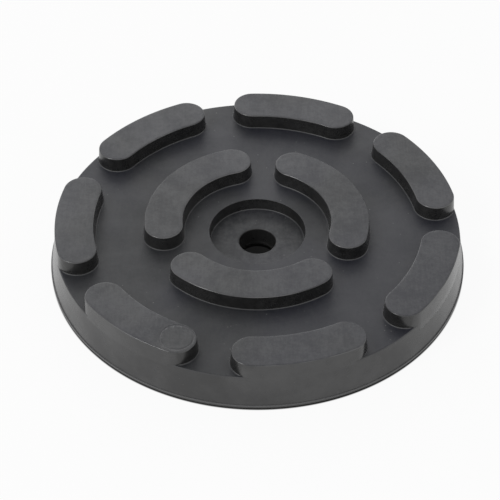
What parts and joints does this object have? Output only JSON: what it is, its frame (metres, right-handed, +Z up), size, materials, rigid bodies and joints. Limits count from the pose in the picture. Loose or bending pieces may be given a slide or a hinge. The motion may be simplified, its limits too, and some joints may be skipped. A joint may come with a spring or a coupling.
{
  "type": "rubber lift pad",
  "caption": "Round moulded rubber pad with a ring of raised arc lugs at its edge, longer arc lugs round a sunk bolt seat, and a central bore.",
  "frame": {"origin": "centre of the underside, on the bore's axis", "axes": "+Z up along the bore's axis from the flat underside to the lug tops; +X to the right and +Y away from the viewer as pictured"},
  "size_m": [0.15, 0.15, 0.0192],
  "materials": {
    "rubber": "moulded, semi-matt, with faint cloudy marks"
  },
  "bodies": {
    "root": {"rubber_pad": "rubber"}
  },
  "joints": []
}
